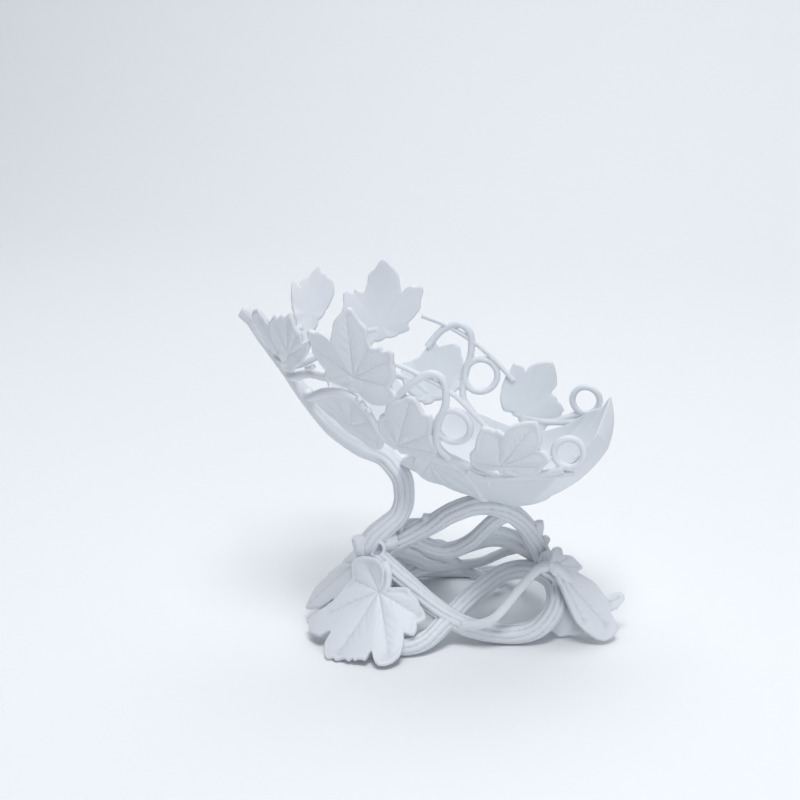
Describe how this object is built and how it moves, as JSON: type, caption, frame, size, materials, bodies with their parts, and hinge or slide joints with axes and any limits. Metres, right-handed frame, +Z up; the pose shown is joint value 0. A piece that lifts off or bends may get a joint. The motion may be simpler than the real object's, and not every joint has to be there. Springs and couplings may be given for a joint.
{
  "type": "wine bottle holder",
  "caption": "Tilted openwork cradle of grape leaves and tendrils for one wine bottle, on a stand of twisted vines with leaves for feet, all in one white piece.",
  "frame": {"origin": "centre of the part's footprint on the floor", "axes": "+Z up; X along the bottle, its mouth towards -X and its base towards +X; the side with the larger foot leaf is -Y"},
  "size_m": [0.2109, 0.1286, 0.1969],
  "materials": {
    "holder": "matte white, faintly cool, with soft moulded edges"
  },
  "bodies": {
    "root": {"holder": "holder"}
  },
  "joints": []
}
